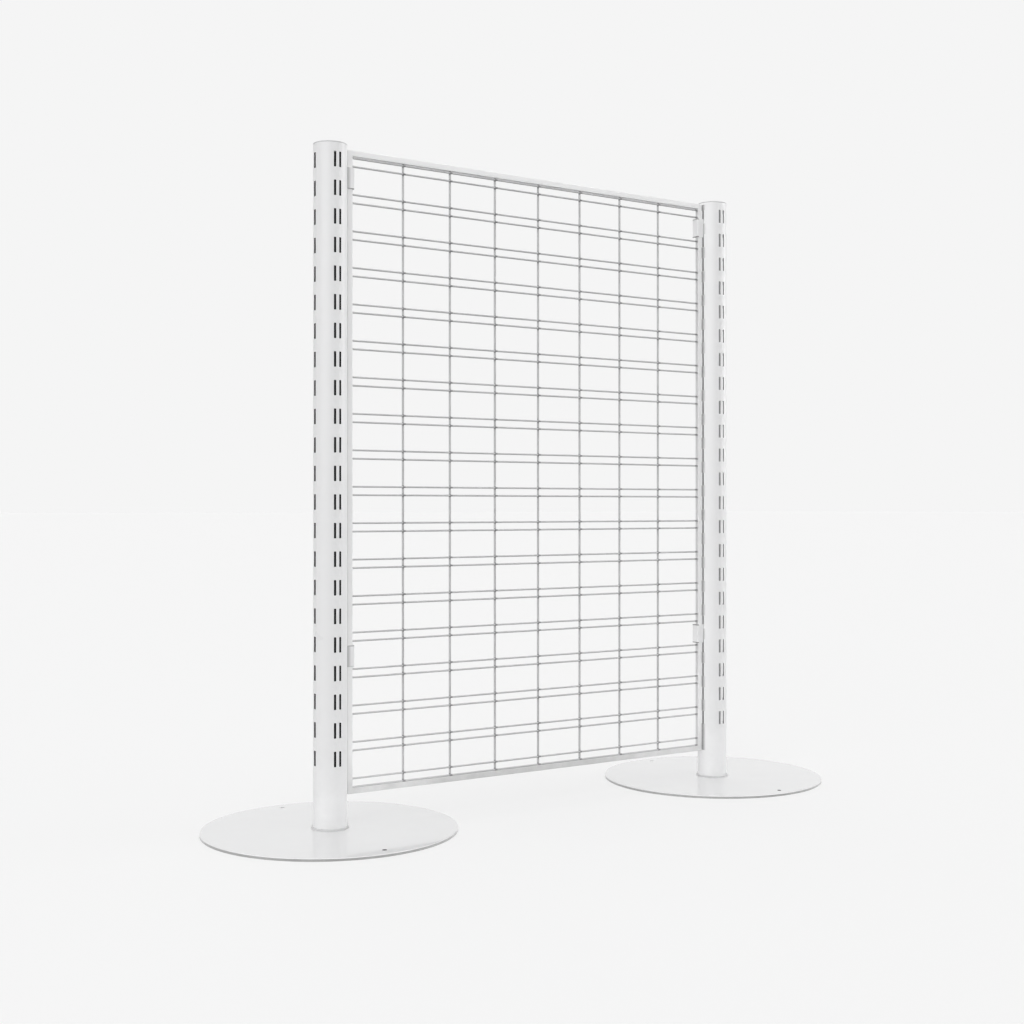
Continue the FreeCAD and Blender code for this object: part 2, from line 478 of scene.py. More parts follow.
@dataclass(frozen=True)
class GapGrime(SurfaceMark):
    """Painted shade on the strip of each post that stands against the panel, fading out round the
    tube: the dark gap beside the stile, drawn as a ragged tone.
    """

    # colour of the painted shade in the gap between stile and post
    TONE = (0.05, 0.05, 0.05)

    axis: float  # distance of the posts' axes from the panel's middle
    foot: float  # height at which the panel starts
    top: float  # height at which the panel ends
    row: float  # height of the middle of the lowest row of slots
    row_pitch: float
    row_half: float  # half the height of a row
    row_share: float = 0.05  # share of the painted shade that stays at a row
    full: float = 0.004  # distance from the strip's middle up to which the painted shade is full
    reach: float = 0.012  # distance at which it ends
    amount: float = 0.68

    @staticmethod
    def mask(w: ShaderWriter, given: Sockets) -> Socket:
        """Full between the rows of slots and below them, thin at a row."""
        where = w.where()
        place = w.split(where)
        off = w.math("ABSOLUTE", place["Y"])
        beside = w.ramp(off, (given["Full"], given["Reach"]), (1.0, 0.0), smooth=True)
        facing = w.math("LESS_THAN", w.math("ABSOLUTE", place["X"]), given["Axis"])
        above = w.math("GREATER_THAN", place["Z"], given["Foot"])
        below = w.math("LESS_THAN", place["Z"], given["Top"])
        from_row = w.math("SUBTRACT", place["Z"], given["Row"])
        away = w.math("PINGPONG", from_row, w.product(given["Row Pitch"], 0.5))
        past = w.math("SUBTRACT", away, given["Row Half"])
        between = w.ramp(past, ends=(-0.001, 0.001), levels=(given["Row Share"], 1.0))
        under = w.math("LESS_THAN", from_row, w.product(given["Row Half"], -1.0))
        clear = w.math("MAXIMUM", between, under)
        patches = w.noise(where, scale=90.0, detail=3.0)
        ragged = w.ramp(patches, ends=(0.3, 0.7), levels=(0.88, 1.0))
        return w.product(beside, ragged, facing, above, below, clear, given["Amount"])


@dataclass(frozen=True)
class EndSeam(SurfaceMark):
    """Painted shade: a dark line along the two cut ends of a clip, and a shade along its edge
    against the post.
    """

    # colour of the painted shade at the clip's ends
    TONE = (0.09, 0.09, 0.09)

    low: float  # height of the lower end
    high: float  # height of the upper end
    foot_amount: float
    top_amount: float
    extent: float  # distance from the panel's middle at which the lines end
    side: float  # distance from the panel's middle of the edge that stands against the post
    side_amount: float  # strength of the shade along that edge
    reach: float = 0.002  # height of a line
    side_reach: float = 0.008  # width of the shade

    @staticmethod
    def mask(w: ShaderWriter, given: Sockets) -> Socket:
        """The two lines, and the shade along the post's side."""
        place = w.split(w.where())
        ends = []
        for upper, lower, amount in ((place["Z"], given["Low"], "Foot Amount"),
                                     (given["High"], place["Z"], "Top Amount")):
            near = w.math("DIVIDE", w.math("SUBTRACT", upper, lower), given["Reach"])
            line = w.ramp(near, ends=(0.5, 1.0), levels=(1.0, 0.0), smooth=True)
            ends.append(w.product(line, given[amount]))
        off = w.math("ABSOLUTE", place["X"])
        inward = w.math("DIVIDE", w.math("SUBTRACT", given["Side"], off), given["Side Reach"])
        beside = w.ramp(inward, ends=(0.0, 1.0), levels=(given["Side Amount"], 0.0))
        within = w.math("LESS_THAN", off, given["Extent"])
        return w.math("MAXIMUM", w.product(w.math("MAXIMUM", *ends), within), beside)


@dataclass(frozen=True)
class BoltBore(SurfaceMark):
    """Painted shade: a dark wall for the bolt hole before each post, where the hole is in shadow.
    """

    # colour of the painted shade in the front bolt holes
    TONE = (0.02, 0.02, 0.02)

    axis: float  # distance of the holes from the panel's middle
    place: float  # place of the holes along Y
    radius: float  # distance from a hole's axis at which the painted shade ends

    @staticmethod
    def mask(w: ShaderWriter, given: Sockets) -> Socket:
        """One inside the radius."""
        place = w.split(w.where())
        across = w.math("SUBTRACT", w.math("ABSOLUTE", place["X"]), given["Axis"])
        along = w.math("SUBTRACT", place["Y"], given["Place"])
        square = w.math("ADD", w.product(across, across), w.product(along, along))
        return w.math("LESS_THAN", w.math("SQRT", square), given["Radius"])


@dataclass(frozen=True)
class CoatFinish:
    """A sprayed or moulded finish over one piece."""

    name: str
    colour: Triple
    roughness: float
    drift: float = 0.02  # share by which the tone wanders
    peel_cell: float = 0.0012  # width of a dimple in the coat
    peel_depth: float = 0.00002  # bump distance of the dimples
    # darkening towards the floor, part dust and part painted shade
    dust: FloorDust | None = None
    scuff: float = 0.0  # strength of hairline scuffs
    specular: float = 0.5
    clear: float = 0.0  # weight of a clear gloss layer over the coat

    def material(self, mark: SurfaceMark | None = None) -> Material:
        """Builds the node material, with a mark at places that the frame gives, if any."""
        material = bpy.data.materials.new(self.name)
        w = ShaderWriter.of(material)
        tone = CoatTone(self.drift, self.roughness).lay(w, Color=(*self.colour, 1.0))
        colour, roughness = tone["Color"], tone["Gloss"]
        for layer in filter(None, (self.dust, mark)):
            marked = layer.lay(w, Color=colour)
            colour = marked["Color"]
            if layer.DULLING:
                roughness = w.math("ADD", roughness, w.product(marked["Mask"], layer.DULLING))
        height = CoatPeel(self.peel_cell).lay(w)["Height"]
        if self.scuff:
            scuff = FloorScuff(self.scuff).lay(w)["Mask"]
            roughness = w.math("ADD", roughness, scuff)
            height = w.math("SUBTRACT", height, scuff)
        relief = {"Strength": 1.0, "Distance": self.peel_depth, "Height": height}
        shader = w.out("ShaderNodeBsdfPrincipled", {
            "Base Color": colour,
            "Roughness": roughness,
            "Normal": w.out("ShaderNodeBump", relief),
            "Specular IOR Level": self.specular,
            "Coat Weight": self.clear,
        })
        w.add("ShaderNodeOutputMaterial", {"Surface": shader})
        return material


@dataclass(frozen=True)
class Palette:
    """The finishes of the object, in linear colour."""

    post: CoatFinish = CoatFinish(
        "post_powder_coat", (0.86, 0.86, 0.865), 0.3, dust=FloorDust(0.27, 0.30), specular=0.35)
    bore: CoatFinish = CoatFinish(
        "bore_mill_scale", (0.02, 0.02, 0.021), 0.8, drift=0.2, peel_cell=0.004, specular=0.1)
    # painted light: a pale copy of the bore's finish, on the right post only, standing for light
    # seen through its slots
    lit_bore: CoatFinish = CoatFinish(
        "bore_primer", (0.56, 0.56, 0.565), 0.7, drift=0.1, specular=0.2)
    cut_edge: CoatFinish = CoatFinish(
        "slot_edge_primer", (0.09, 0.09, 0.092), 0.6, drift=0.1, specular=0.3)
    # the dark layer covers the whole rim: painted contact shade where the plate meets the floor
    plate: CoatFinish = CoatFinish(
        "plate_powder_coat", (0.72, 0.72, 0.728), 0.10, dust=FloorDust(1.0, 0.0044, solid=0.0036),
        scuff=0.12, peel_depth=0.000006, clear=0.9)
    weld: CoatFinish = CoatFinish(
        "weld_coat", (0.57, 0.57, 0.575), 0.36, dust=FloorDust(0.21, 0.02))
    # the dark layer at the frame's foot is painted shade near the floor
    rail: CoatFinish = CoatFinish(
        "frame_powder_coat", (0.935, 0.935, 0.937), 0.55, specular=0.3,
        dust=FloorDust(0.54, 0.13, solid=0.058))
    # painted shade: a darker copy of the frame's coat, on the stiles' sides that look at each other
    inner_side: CoatFinish = CoatFinish(
        "frame_inner_coat", (0.68, 0.68, 0.685), 0.55, specular=0.3,
        dust=FloorDust(0.37, 0.13, solid=0.058))
    wire: CoatFinish = CoatFinish(
        "wire_zinc_coat", (0.54, 0.54, 0.545), 0.4, drift=0.1, peel_cell=0.0006)
    upright: CoatFinish = CoatFinish(
        "upright_zinc_coat", (0.50, 0.50, 0.505), 0.4, drift=0.1, peel_cell=0.0006)
    nugget: CoatFinish = CoatFinish(
        "mesh_weld_coat", (0.30, 0.30, 0.305), 0.5, drift=0.2, peel_cell=0.0004)
    bracket: CoatFinish = CoatFinish("bracket_powder_coat", (0.88, 0.88, 0.885), 0.4)
    cap: CoatFinish = CoatFinish("cap_moulding", (0.62, 0.62, 0.625), 0.45, peel_cell=0.0005)


def linked(name: str, data: bpy.types.ID) -> Object:
    """Adds an object to the scene, at the origin."""
    obj = bpy.data.objects.new(name, data)
    bpy.context.scene.collection.objects.link(obj)
    return obj


def new_object(name: str, bm: BMesh) -> Object:
    """Turns an edit mesh into an object of the scene and frees it."""
    mesh = bpy.data.meshes.new(name)
    bm.to_mesh(mesh)
    bm.free()
    return linked(name, mesh)


def finished(name: str, bm: BMesh, materials: Sequence[Material]) -> Object:
    """Makes a piece of an edit mesh, smooth but for its creases.

    Args:
        name: the piece's name.
        bm: the edit mesh.
        materials: the piece's materials.

    Returns:
        The piece, with even shading on its flat faces.
    """
    for face in bm.faces:
        face.smooth = True
    for edge in bm.edges:
        edge.smooth = len(edge.link_faces) == 2 and edge.calc_face_angle(0.0) < CREASE
    obj = new_object(name, bm)
    for material in materials:
        obj.data.materials.append(material)
    obj.modifiers.new("even_faces", "WEIGHTED_NORMAL").keep_sharp = True
    return obj


def rounded_corner(cx: float, cy: float, radius: float, start: float, steps: int) -> list[Point]:
    """Points of a quarter circle, turning anticlockwise from a start angle in degrees."""
    turn = [math.radians(start + 90.0 * i / steps) for i in range(steps + 1)]
    return [(cx + radius * math.cos(a), cy + radius * math.sin(a)) for a in turn]


def rounded_box(low: Point, high: Point, radius: float, steps: int) -> list[Point]:
    """Outline of a box with rounded corners, anticlockwise."""
    (x0, y0), (x1, y1) = ([v + radius for v in low], [v - radius for v in high])
    corners = ((x1, y1, 0.0), (x0, y1, 90.0), (x0, y0, 180.0), (x1, y0, 270.0))
    return [point for cx, cy, start in corners
            for point in rounded_corner(cx, cy, radius, start, steps)]


def skin_rings(bm: BMesh, rings: Sequence[list[BMVert]]) -> None:
    """Joins each ring of vertices to the following one; a ring of one vertex is a point."""
    steps = max(len(ring) for ring in rings)
    for ring, following in zip(rings, rings[1:]):
        for i in range(steps):
            j = (i + 1) % steps
            quad = ((ring, i), (ring, j), (following, j), (following, i))
            bm.faces.new(list(dict.fromkeys(part[k % len(part)] for part, k in quad)))
    bmesh.ops.recalc_face_normals(bm, faces=bm.faces[:])


def middle_of(corners: Sequence[BMVert]) -> Vector:
    """Mean place of some vertices."""
    return sum((corner.co for corner in corners), Vector()) / len(corners)


def run_geometry_nodes(name: str, tree: NodeTree, values: dict[str, Any]) -> Object:
    """Evaluates a geometry tree and keeps the result as a plain mesh object.

    Args:
        name: the object's name.
        tree: the geometry node tree.
        values: a value for each named input.

    Returns:
        An object with the finished mesh and no modifier.
    """
    seed = bpy.data.meshes.new(name)
    obj = linked(name, seed)
    modifier = obj.modifiers.new("build", "NODES")
    modifier.node_group = tree
    for item in tree.interface.items_tree:
        if item.in_out == "INPUT":
            modifier[item.identifier] = values[item.name]
    graph = bpy.context.evaluated_depsgraph_get()
    mesh = bpy.data.meshes.new_from_object(
        obj.evaluated_get(graph), preserve_all_data_layers=True, depsgraph=graph)
    obj.modifiers.clear()
    obj.data = mesh
    bpy.data.meshes.remove(seed)
    mesh.name = name
    return obj


def post_axis(side: Side) -> float:
    """Place along X of a post's axis, taken from its round cap."""
    low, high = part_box(side.word + "_post_cap")
    return (low.x + high.x) / 2


def register(obj: Object, nodes: Sequence[str] = ()) -> None:
    """Hands a finished piece to the frame.

    Args:
        obj: the piece.
        nodes: the CAD nodes that it stands for.
    """
    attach(obj, BODY)
    if nodes:
        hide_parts(*nodes)
    LOG.info("%s: %d faces", obj.name, len(obj.data.polygons))


def dress_node(node: str, material: Material) -> None:
    """Gives every material slot of a CAD node one finish."""
    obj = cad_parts[node]
    if not obj.data.materials:
        obj.data.materials.append(material)
    for slot in obj.material_slots:
        slot.material = material
    LOG.info("%s: CAD node dressed", node)


@dataclass
class PunchedPost:
    """Round tube of punched tiles: twin slots on three sides, one wider slot on the outer side."""

    radius: float = 0.030
    wall: float = 0.002
    slot_width: float = 0.0040
    outer_slot_width: float = 0.0064
    slot_height: float = 0.027
    slot_offset: float = 0.005  # from the middle of a side to each twin slot
    slot_corner: float = 0.0006
    slot_break: float = 0.0003  # width of the broken edge round a slot
    pitch: float = 0.050
    first_slot_drop: float = 0.016  # from the tube's top to the top row
    rows: int = 22
    plain_lines: tuple[float, ...] = (21.0, 27.0, 33.0, 39.0, 45.0)
    twin_lines: tuple[float, ...] = (0.0, 3.4)
    single_lines: tuple[float, ...] = (9.0, 15.0)

    MARK = "bore"
    CORNER_STEPS = 2
    FILL_GAP, MERGE_GAP = 1e-7, 2e-6
    CURVED, LEVEL = 0.98, 0.02  # least facing away from the axis, and most tilt, of a curved face

    def _lines(self, twin: bool) -> list[float]:
        """Angles in degrees of a tile's upright edges."""
        near = self.twin_lines if twin else self.single_lines
        return sorted({sign * line for line in (*near, *self.plain_lines) for sign in (-1.0, 1.0)})

    def _offsets(self, twin: bool) -> tuple[float, ...]:
        """Sideways places of a tile's slots."""
        return (-self.slot_offset, self.slot_offset) if twin else (0.0,)

    @staticmethod
    def _at(angle: float, radius: float, z: float) -> Vector:
        """Point on a cylinder about Z."""
        return Vector((radius * math.cos(angle), radius * math.sin(angle), z))

    def _slot_outline(self, centre: float, grow: float, twin: bool) -> list[Point]:
        """Slot outline in (y, z), grown all round by a margin."""
        half_w = (self.slot_width if twin else self.outer_slot_width) / 2 + grow
        half_h = self.slot_height / 2 + grow
        low, high = (centre - half_w, -half_h), (centre + half_w, half_h)
        return rounded_box(low, high, self.slot_corner + grow, self.CORNER_STEPS)

    def _face(self, bm: BMesh, corners: Sequence[BMVert], mark: PostFace, facing: Vector) -> None:
        """Adds a marked face that looks along a direction."""
        face = bm.faces.new(corners)
        face[bm.faces.layers.int[self.MARK]] = int(mark)
        face.normal_update()
        if face.normal.dot(facing) < 0.0:
            face.normal_flip()

    def _skin(self, bm: BMesh, radius: float, grow: float, mark: PostFace,
              twin: bool) -> list[list[BMVert]]:
        """Fills a tile's curved face round its slots.

        Args:
            bm: the tile's edit mesh.
            radius: radius of the face.
            grow: margin of the slot outlines on this face.
            mark: the face's kind; a bore looks at the axis.
            twin: whether the tile has two slots.

        Returns:
            The vertices round each slot.
        """
        flat, edges, loops, lines = [], [], [], []
        for centre in self._offsets(twin):
            outline = self._slot_outline(centre, grow, twin)
            first = len(flat)
            flat += [Vector((math.asin(y / radius) * radius, z)) for y, z in outline]
            loops.append(list(range(first, len(flat))))
            edges += [(first + i, first + (i + 1) % len(outline)) for i in range(len(outline))]
        for line in self._lines(twin):
            lines.append(len(flat))
            u = math.radians(line) * radius
            flat += [Vector((u, -self.pitch / 2)), Vector((u, self.pitch / 2))]
            edges.append((lines[-1], lines[-1] + 1))
        for low, following in zip(lines, lines[1:]):
            edges += [(low, following), (low + 1, following + 1)]
        points, _, faces, sources, _, _ = delaunay_2d_cdt(flat, edges, [], 0, self.FILL_GAP)
        made = [bm.verts.new(self._at(p.x / radius, radius, p.y)) for p in points]
        place = {source: index for index, group in enumerate(sources) for source in group}
        rims = [[made[place[i]] for i in loop] for loop in loops]
        outward = -1.0 if mark is PostFace.BORE else 1.0
        for face in faces:
            corners = [made[i] for i in face]
            if not any(all(corner in rim for corner in corners) for rim in rims):
                self._face(bm, corners, mark, middle_of(corners) * Vector((outward, outward, 0.0)))
        return rims

    def _helper(self, name: str, bm: BMesh) -> Object:
        """Keeps an edit mesh as a hidden helper object."""
        helper = new_object(name, bm)
        helper.hide_render = True
        return helper

    def _edit_mesh(self) -> BMesh:
        """Opens an edit mesh whose faces can be marked."""
        bm = bmesh.new()
        bm.faces.layers.int.new(self.MARK)
        return bm

    def tile(self, twin: bool) -> Object:
        """One quarter turn and one pitch of the punched wall, centred on its slots."""
        bm = self._edit_mesh()
        outer = self._skin(bm, self.radius, self.slot_break, PostFace.COAT, twin)
        inner = self._skin(bm, self.radius - self.wall, 0.0, PostFace.BORE, twin)
        lip_radius = self.radius - self.slot_break
        for centre, rim, back in zip(self._offsets(twin), outer, inner):
            lip = [bm.verts.new(self._at(math.asin(y / lip_radius), lip_radius, z))
                   for y, z in self._slot_outline(centre, 0.0, twin)]
            middle = middle_of(lip)
            for near, far, mark in ((rim, lip, PostFace.COAT), (lip, back, PostFace.CUT_EDGE)):
                for i in range(len(near)):
                    j = (i + 1) % len(near)
                    corners = (near[i], near[j], far[j], far[i])
                    self._face(bm, corners, mark, middle - middle_of(corners))
        return self._helper("twin_slot_tile" if twin else "single_slot_tile", bm)

    def ends(self, twin: bool) -> Object:
        """Plain ends of the tube above and below the punched rows, for one quarter turn."""
        bm = self._edit_mesh()
        low, high = (corner.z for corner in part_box("left_post"))
        top_row = self.first_row() + self.pitch / 2
        last_row = self.last_row() - self.pitch / 2
        inside = self.radius - self.wall
        angles = [math.radians(a) for a in self._lines(twin)]
        for z0, z1, end_z, up in ((low, last_row, low, -1.0), (top_row, high, high, 1.0)):
            for a0, a1 in zip(angles, angles[1:]):
                out = self._at((a0 + a1) / 2, 1.0, 0.0)
                for r0, h0, r1, h1, mark, facing in (
                    (self.radius, z0, self.radius, z1, PostFace.COAT, out),
                    (inside, z0, inside, z1, PostFace.BORE, -out),
                    (inside, end_z, self.radius, end_z, PostFace.COAT, Vector((0.0, 0.0, up))),
                ):
                    places = ((a0, r0, h0), (a1, r0, h0), (a1, r1, h1), (a0, r1, h1))
                    corners = [bm.verts.new(self._at(*place)) for place in places]
                    self._face(bm, corners, mark, facing)
        return self._helper("twin_tube_ends" if twin else "single_tube_ends", bm)

    def tree(self, values: dict[str, Any]) -> NodeTree:
        """Geometry tree that stands tiles in rows and turns them round the post's axis."""
        w = GeometryWriter("punched_tube", values)
        given = w.given
        step = w.vector(z=w.product(given["Pitch"], -1.0))
        column = w.line(given["Rows"], w.vector(z=given["First Z"]), step)
        quarters = w.line(4, (0.0, 0.0, 0.0), (0.0, 0.0, 0.0))
        index = w.out("GeometryNodeInputIndex")
        spin = w.vector(z=w.product(index, math.pi / 2))
        sides = []
        for kind, test in (("Twin", "NOT_EQUAL"), ("Single", "EQUAL")):
            tile, ends = (w.add("GeometryNodeObjectInfo", {0: given[kind + part]}).outputs
                          for part in (" Tile", " Ends"))
            quarter = w.merge(w.copies(column, tile["Geometry"]), ends["Geometry"])
            chosen = w.compare(test, index, given["Outer Quarter"])
            sides.append(w.copies(quarters, quarter, Selection=chosen, Rotation=spin))
        tube = w.real(w.transform(w.merge(*sides), Translation=w.vector(given["Post X"])))
        joint = {"Geometry": tube, "Distance": self.MERGE_GAP}
        merged = w.out("GeometryNodeMergeByDistance", joint)
        return w.close(merged, ("Coat", "Bore", "Cut Edge"), self.MARK)

    def _true_normals(self, mesh: Mesh, axis_x: float) -> None:
        """Points the normals of the curved faces straight away from the tube's axis."""
        normals = [Vector((0.0, 0.0, 1.0))] * len(mesh.loops)
        for face in mesh.polygons:
            face.use_smooth = True
            for index in face.loop_indices:
                co = mesh.vertices[mesh.loops[index].vertex_index].co
                radial = Vector((co.x - axis_x, co.y, 0.0)).normalized()
                facing = face.normal.dot(radial)
                curved = abs(facing) > self.CURVED and abs(face.normal.z) < self.LEVEL
                away = radial * math.copysign(1.0, facing)
                normals[index] = away if curved else face.normal.copy()
        mesh.normals_split_custom_set(normals)

    def first_row(self) -> float:
        """Height of the middle of the top row of slots."""
        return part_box("left_post")[1].z - self.first_slot_drop - self.slot_height / 2

    def last_row(self) -> float:
        """Height of the middle of the lowest row of slots."""
        return self.first_row() - self.pitch * (self.rows - 1)

    def grime(self) -> GapGrime:
        """Painted shade on the strip beside the panel, thin at the rows of slots."""
        foot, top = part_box("left_stile")
        rows = (self.last_row(), self.pitch, self.slot_height / 2)
        return GapGrime(post_axis(Side.RIGHT), foot.z, top.z, *rows)

    def build(self, palette: Palette) -> None:
        """Builds both posts over their CAD nodes; the right one's bore gets a pale finish, painted
        light that stands for light seen through its slots, where the left one's stays dark.
        """
        dark, cut_edge = palette.bore.material(), palette.cut_edge.material()
        # the post coat carries the painted shade of the gap beside the panel
        coat = palette.post.material(self.grime())
        lit = palette.lit_bore.material()
        # the right post's pale bore is painted light; the left one's keeps the dark finish
        inside = {Side.LEFT: (dark, dark), Side.RIGHT: (lit, cut_edge)}
        helpers = {"Twin Tile": self.tile(True), "Twin Ends": self.ends(True),
                   "Single Tile": self.tile(False), "Single Ends": self.ends(False)}
        tree = None
        for side in Side:
            bore, edge = inside[side]
            values = {
                "Rows": self.rows, "Pitch": self.pitch, "First Z": self.first_row(),
                "Post X": post_axis(side), "Outer Quarter": side.outer_quarter,
                "Coat": coat, "Bore": bore, "Cut Edge": edge, **helpers,
            }
            tree = tree or self.tree(values)
            post = run_geometry_nodes(side.word + "_punched_post", tree, values)
            self._true_normals(post.data, post_axis(side))
            register(post, [side.word + "_post"])
        for helper in helpers.values():
            bpy.data.objects.remove(helper)


@dataclass
class WireMesh:
    """Welded mesh: pairs of level wires across the front of upright wires."""

    wire_radius: float = 0.00178
    upright_radius: float = 0.0021
    wire_y: float = -0.0025
    upright_y: float = 0.0005
    rest: float = 0.0016  # height of the lowest wire's axis over the mesh's foot
    pairs: int = 18
    pair_pitch: float = 0.065
    pair_gap: float = 0.015
    uprights: int = 7
    upright_pitch: float = 0.100
    sides: int = 10

    MARK = "finish"
    NUGGET = (1.32, 1.15, 1.25)
    WIRE_END = (0.6, 1.2, 1.25)
    UPRIGHT_END = (1.45, 1.45, 0.7)

    def _marked(self, w: GeometryWriter, geometry: Socket, mark: MeshFace) -> Socket:
        """Marks every face of a branch with its kind."""
        inputs = {"Geometry": geometry, "Name": self.MARK, "Value": int(mark)}
        settings = {"data_type": "INT", "domain": "FACE"}
        return w.out("GeometryNodeStoreNamedAttribute", inputs, **settings)

    def _blob(self, w: GeometryWriter, mark: MeshFace, scale: Triple) -> Socket:
        """Blob of weld, as a stretched ball."""
        return w.transform(self._marked(w, w.ball(w.given["Wire Radius"]), mark), Scale=scale)

    def _wire(self, w: GeometryWriter, start: Socket, run: Socket, radius: Socket,
              mark: MeshFace) -> Socket:
        """Round wire.

        Args:
            w: writer of the tree.
            start: the wire's first end.
            run: the way from there to its other end.
            radius: the wire's radius.
            mark: kind of the wire's faces.

        Returns:
            The marked wire.
        """
        end = w.out("ShaderNodeVectorMath", {0: start, 1: run}, operation="ADD")
        line = w.out("GeometryNodeCurvePrimitiveLine", {"Start": start, "End": end})
        ring = w.ring(w.given["Sides"], radius)
        inputs = {"Curve": line, "Profile Curve": ring, "Fill Caps": True}
        return self._marked(w, w.out("GeometryNodeCurveToMesh", inputs), mark)

    def tree(self, values: dict[str, Any]) -> NodeTree:
        """Geometry tree of the mesh, with a weld nugget at each crossing and at each wire end."""
        w = GeometryWriter("welded_mesh", values)
        given = w.given
        front, behind, bottom = given["Wire Y"], given["Upright Y"], given["Bottom"]
        gaps = w.math("SUBTRACT", given["Uprights"], 1.0)
        first = w.vector(w.product(gaps, given["Upright Pitch"], -0.5))
        stations = w.line(given["Uprights"], first, w.vector(given["Upright Pitch"]))

        wire_back = w.math("ADD", front, given["Wire Radius"])
        upright_face = w.math("SUBTRACT", behind, given["Upright Radius"])
        contact = w.vector(0.0, w.product(w.math("ADD", wire_back, upright_face), 0.5))
        crossings = w.out("GeometryNodeSetPosition", {"Geometry": stations, "Offset": contact})
        nuggets = w.copies(crossings, self._blob(w, MeshFace.WELD, self.NUGGET))
        left = w.vector(w.product(given["Half Width"], -1.0), front)
        width = w.vector(w.product(given["Half Width"], 2.0))
        across = self._wire(w, left, width, given["Wire Radius"], MeshFace.WIRE)
        tips = w.copies(w.line(2, left, width), self._blob(w, MeshFace.WIRE, self.WIRE_END))
        row = w.merge(across, nuggets, tips)
        pair = w.merge(row, w.transform(row, Translation=w.vector(z=given["Pair Gap"])))
        lowest = w.vector(z=w.math("ADD", bottom, given["Rest"]))
        ladder = w.line(given["Pairs"], lowest, w.vector(z=given["Pair Pitch"]))

        foot = w.vector(0.0, behind, bottom)
        height = w.vector(z=w.math("SUBTRACT", given["Top"], bottom))
        stand = self._wire(w, foot, height, given["Upright Radius"], MeshFace.UPRIGHT)
        toes = w.copies(w.line(2, foot, height), self._blob(w, MeshFace.UPRIGHT, self.UPRIGHT_END))
        columns = w.copies(stations, w.merge(stand, toes))
        whole = w.real(w.merge(w.copies(ladder, pair), columns))
        return w.close(whole, ("Coat", "Upright Coat", "Weld"), self.MARK)

    def build(self, palette: Palette) -> None:
        """Builds the mesh over its CAD node, with a tint round the welds."""
        low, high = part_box("wire_mesh")
        first_upright = -self.upright_pitch * (self.uprights - 1) / 2
        along = WeldScorch(0.0, 0.0, self.upright_pitch, first=first_upright)
        up = WeldScorch(1.0, low.z + self.rest, self.pair_pitch, self.pair_gap)
        values = {
            **socket_values(self), "Half Width": high.x, "Bottom": low.z, "Top": high.z,
            "Coat": palette.wire.material(along),
            "Upright Coat": palette.upright.material(up),
            "Weld": palette.nugget.material(),
        }
        mesh = run_geometry_nodes("welded_mesh", self.tree(values), values)
        for face in mesh.data.polygons:
            face.use_smooth = len(face.vertices) <= 4  # the wires' round ends stay flat
        register(mesh, ["wire_mesh"])


@dataclass
class TubeFrame:
    """Mitred frame of rounded rectangular tube round the mesh."""

    face: float = 0.0105  # width of the tube as the viewer sees it
    edge_radius: float = 0.0012
    corner_radius: float = 0.003
    least_radius: float = 0.0001
    edge_steps: int = 4
    corner_steps: int = 5
    inner_facing: float = 0.6  # how squarely an inner side looks at the panel's middle
    nodes: tuple[str, ...] = ("top_rail", "bottom_rail", "left_stile", "right_stile")

    def _ring(self, bm: BMesh, inset: float, y: float, low: Vector, high: Vector) -> list[BMVert]:
        """One loop of vertices round the frame at an inset from its outer edge."""
        radius = max(self.corner_radius - inset, self.least_radius)
        corners = (low.x + inset, low.z + inset), (high.x - inset, high.z - inset)
        outline = rounded_box(*corners, radius, self.corner_steps)
        return [bm.verts.new((x, y, z)) for x, z in outline]

    def build(self, coat: Material, inner_side: Material) -> None:
        """Builds the frame over its four CAD nodes.

        Args:
            coat: finish of the frame.
            inner_side: a darker copy of the frame's finish, painted shade on the stiles' sides that
                look at each other.
        """
        boxes = [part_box(node) for node in self.nodes]
        low = Vector((min(b[0].x for b in boxes), boxes[0][0].y, min(b[0].z for b in boxes)))
        high = Vector((max(b[1].x for b in boxes), boxes[0][1].y, max(b[1].z for b in boxes)))
        bm = bmesh.new()
        section = rounded_box((0.0, low.y), (self.face, high.y), self.edge_radius, self.edge_steps)
        rings = [self._ring(bm, inset, y, low, high) for inset, y in section]
        skin_rings(bm, [*rings, rings[0]])
        for face in bm.faces:
            inward = face.normal.x * (1.0 if face.calc_center_median().x < 0.0 else -1.0)
            face.material_index = int(inward > self.inner_facing)
        register(finished("mitred_frame", bm, (coat, inner_side)), self.nodes)


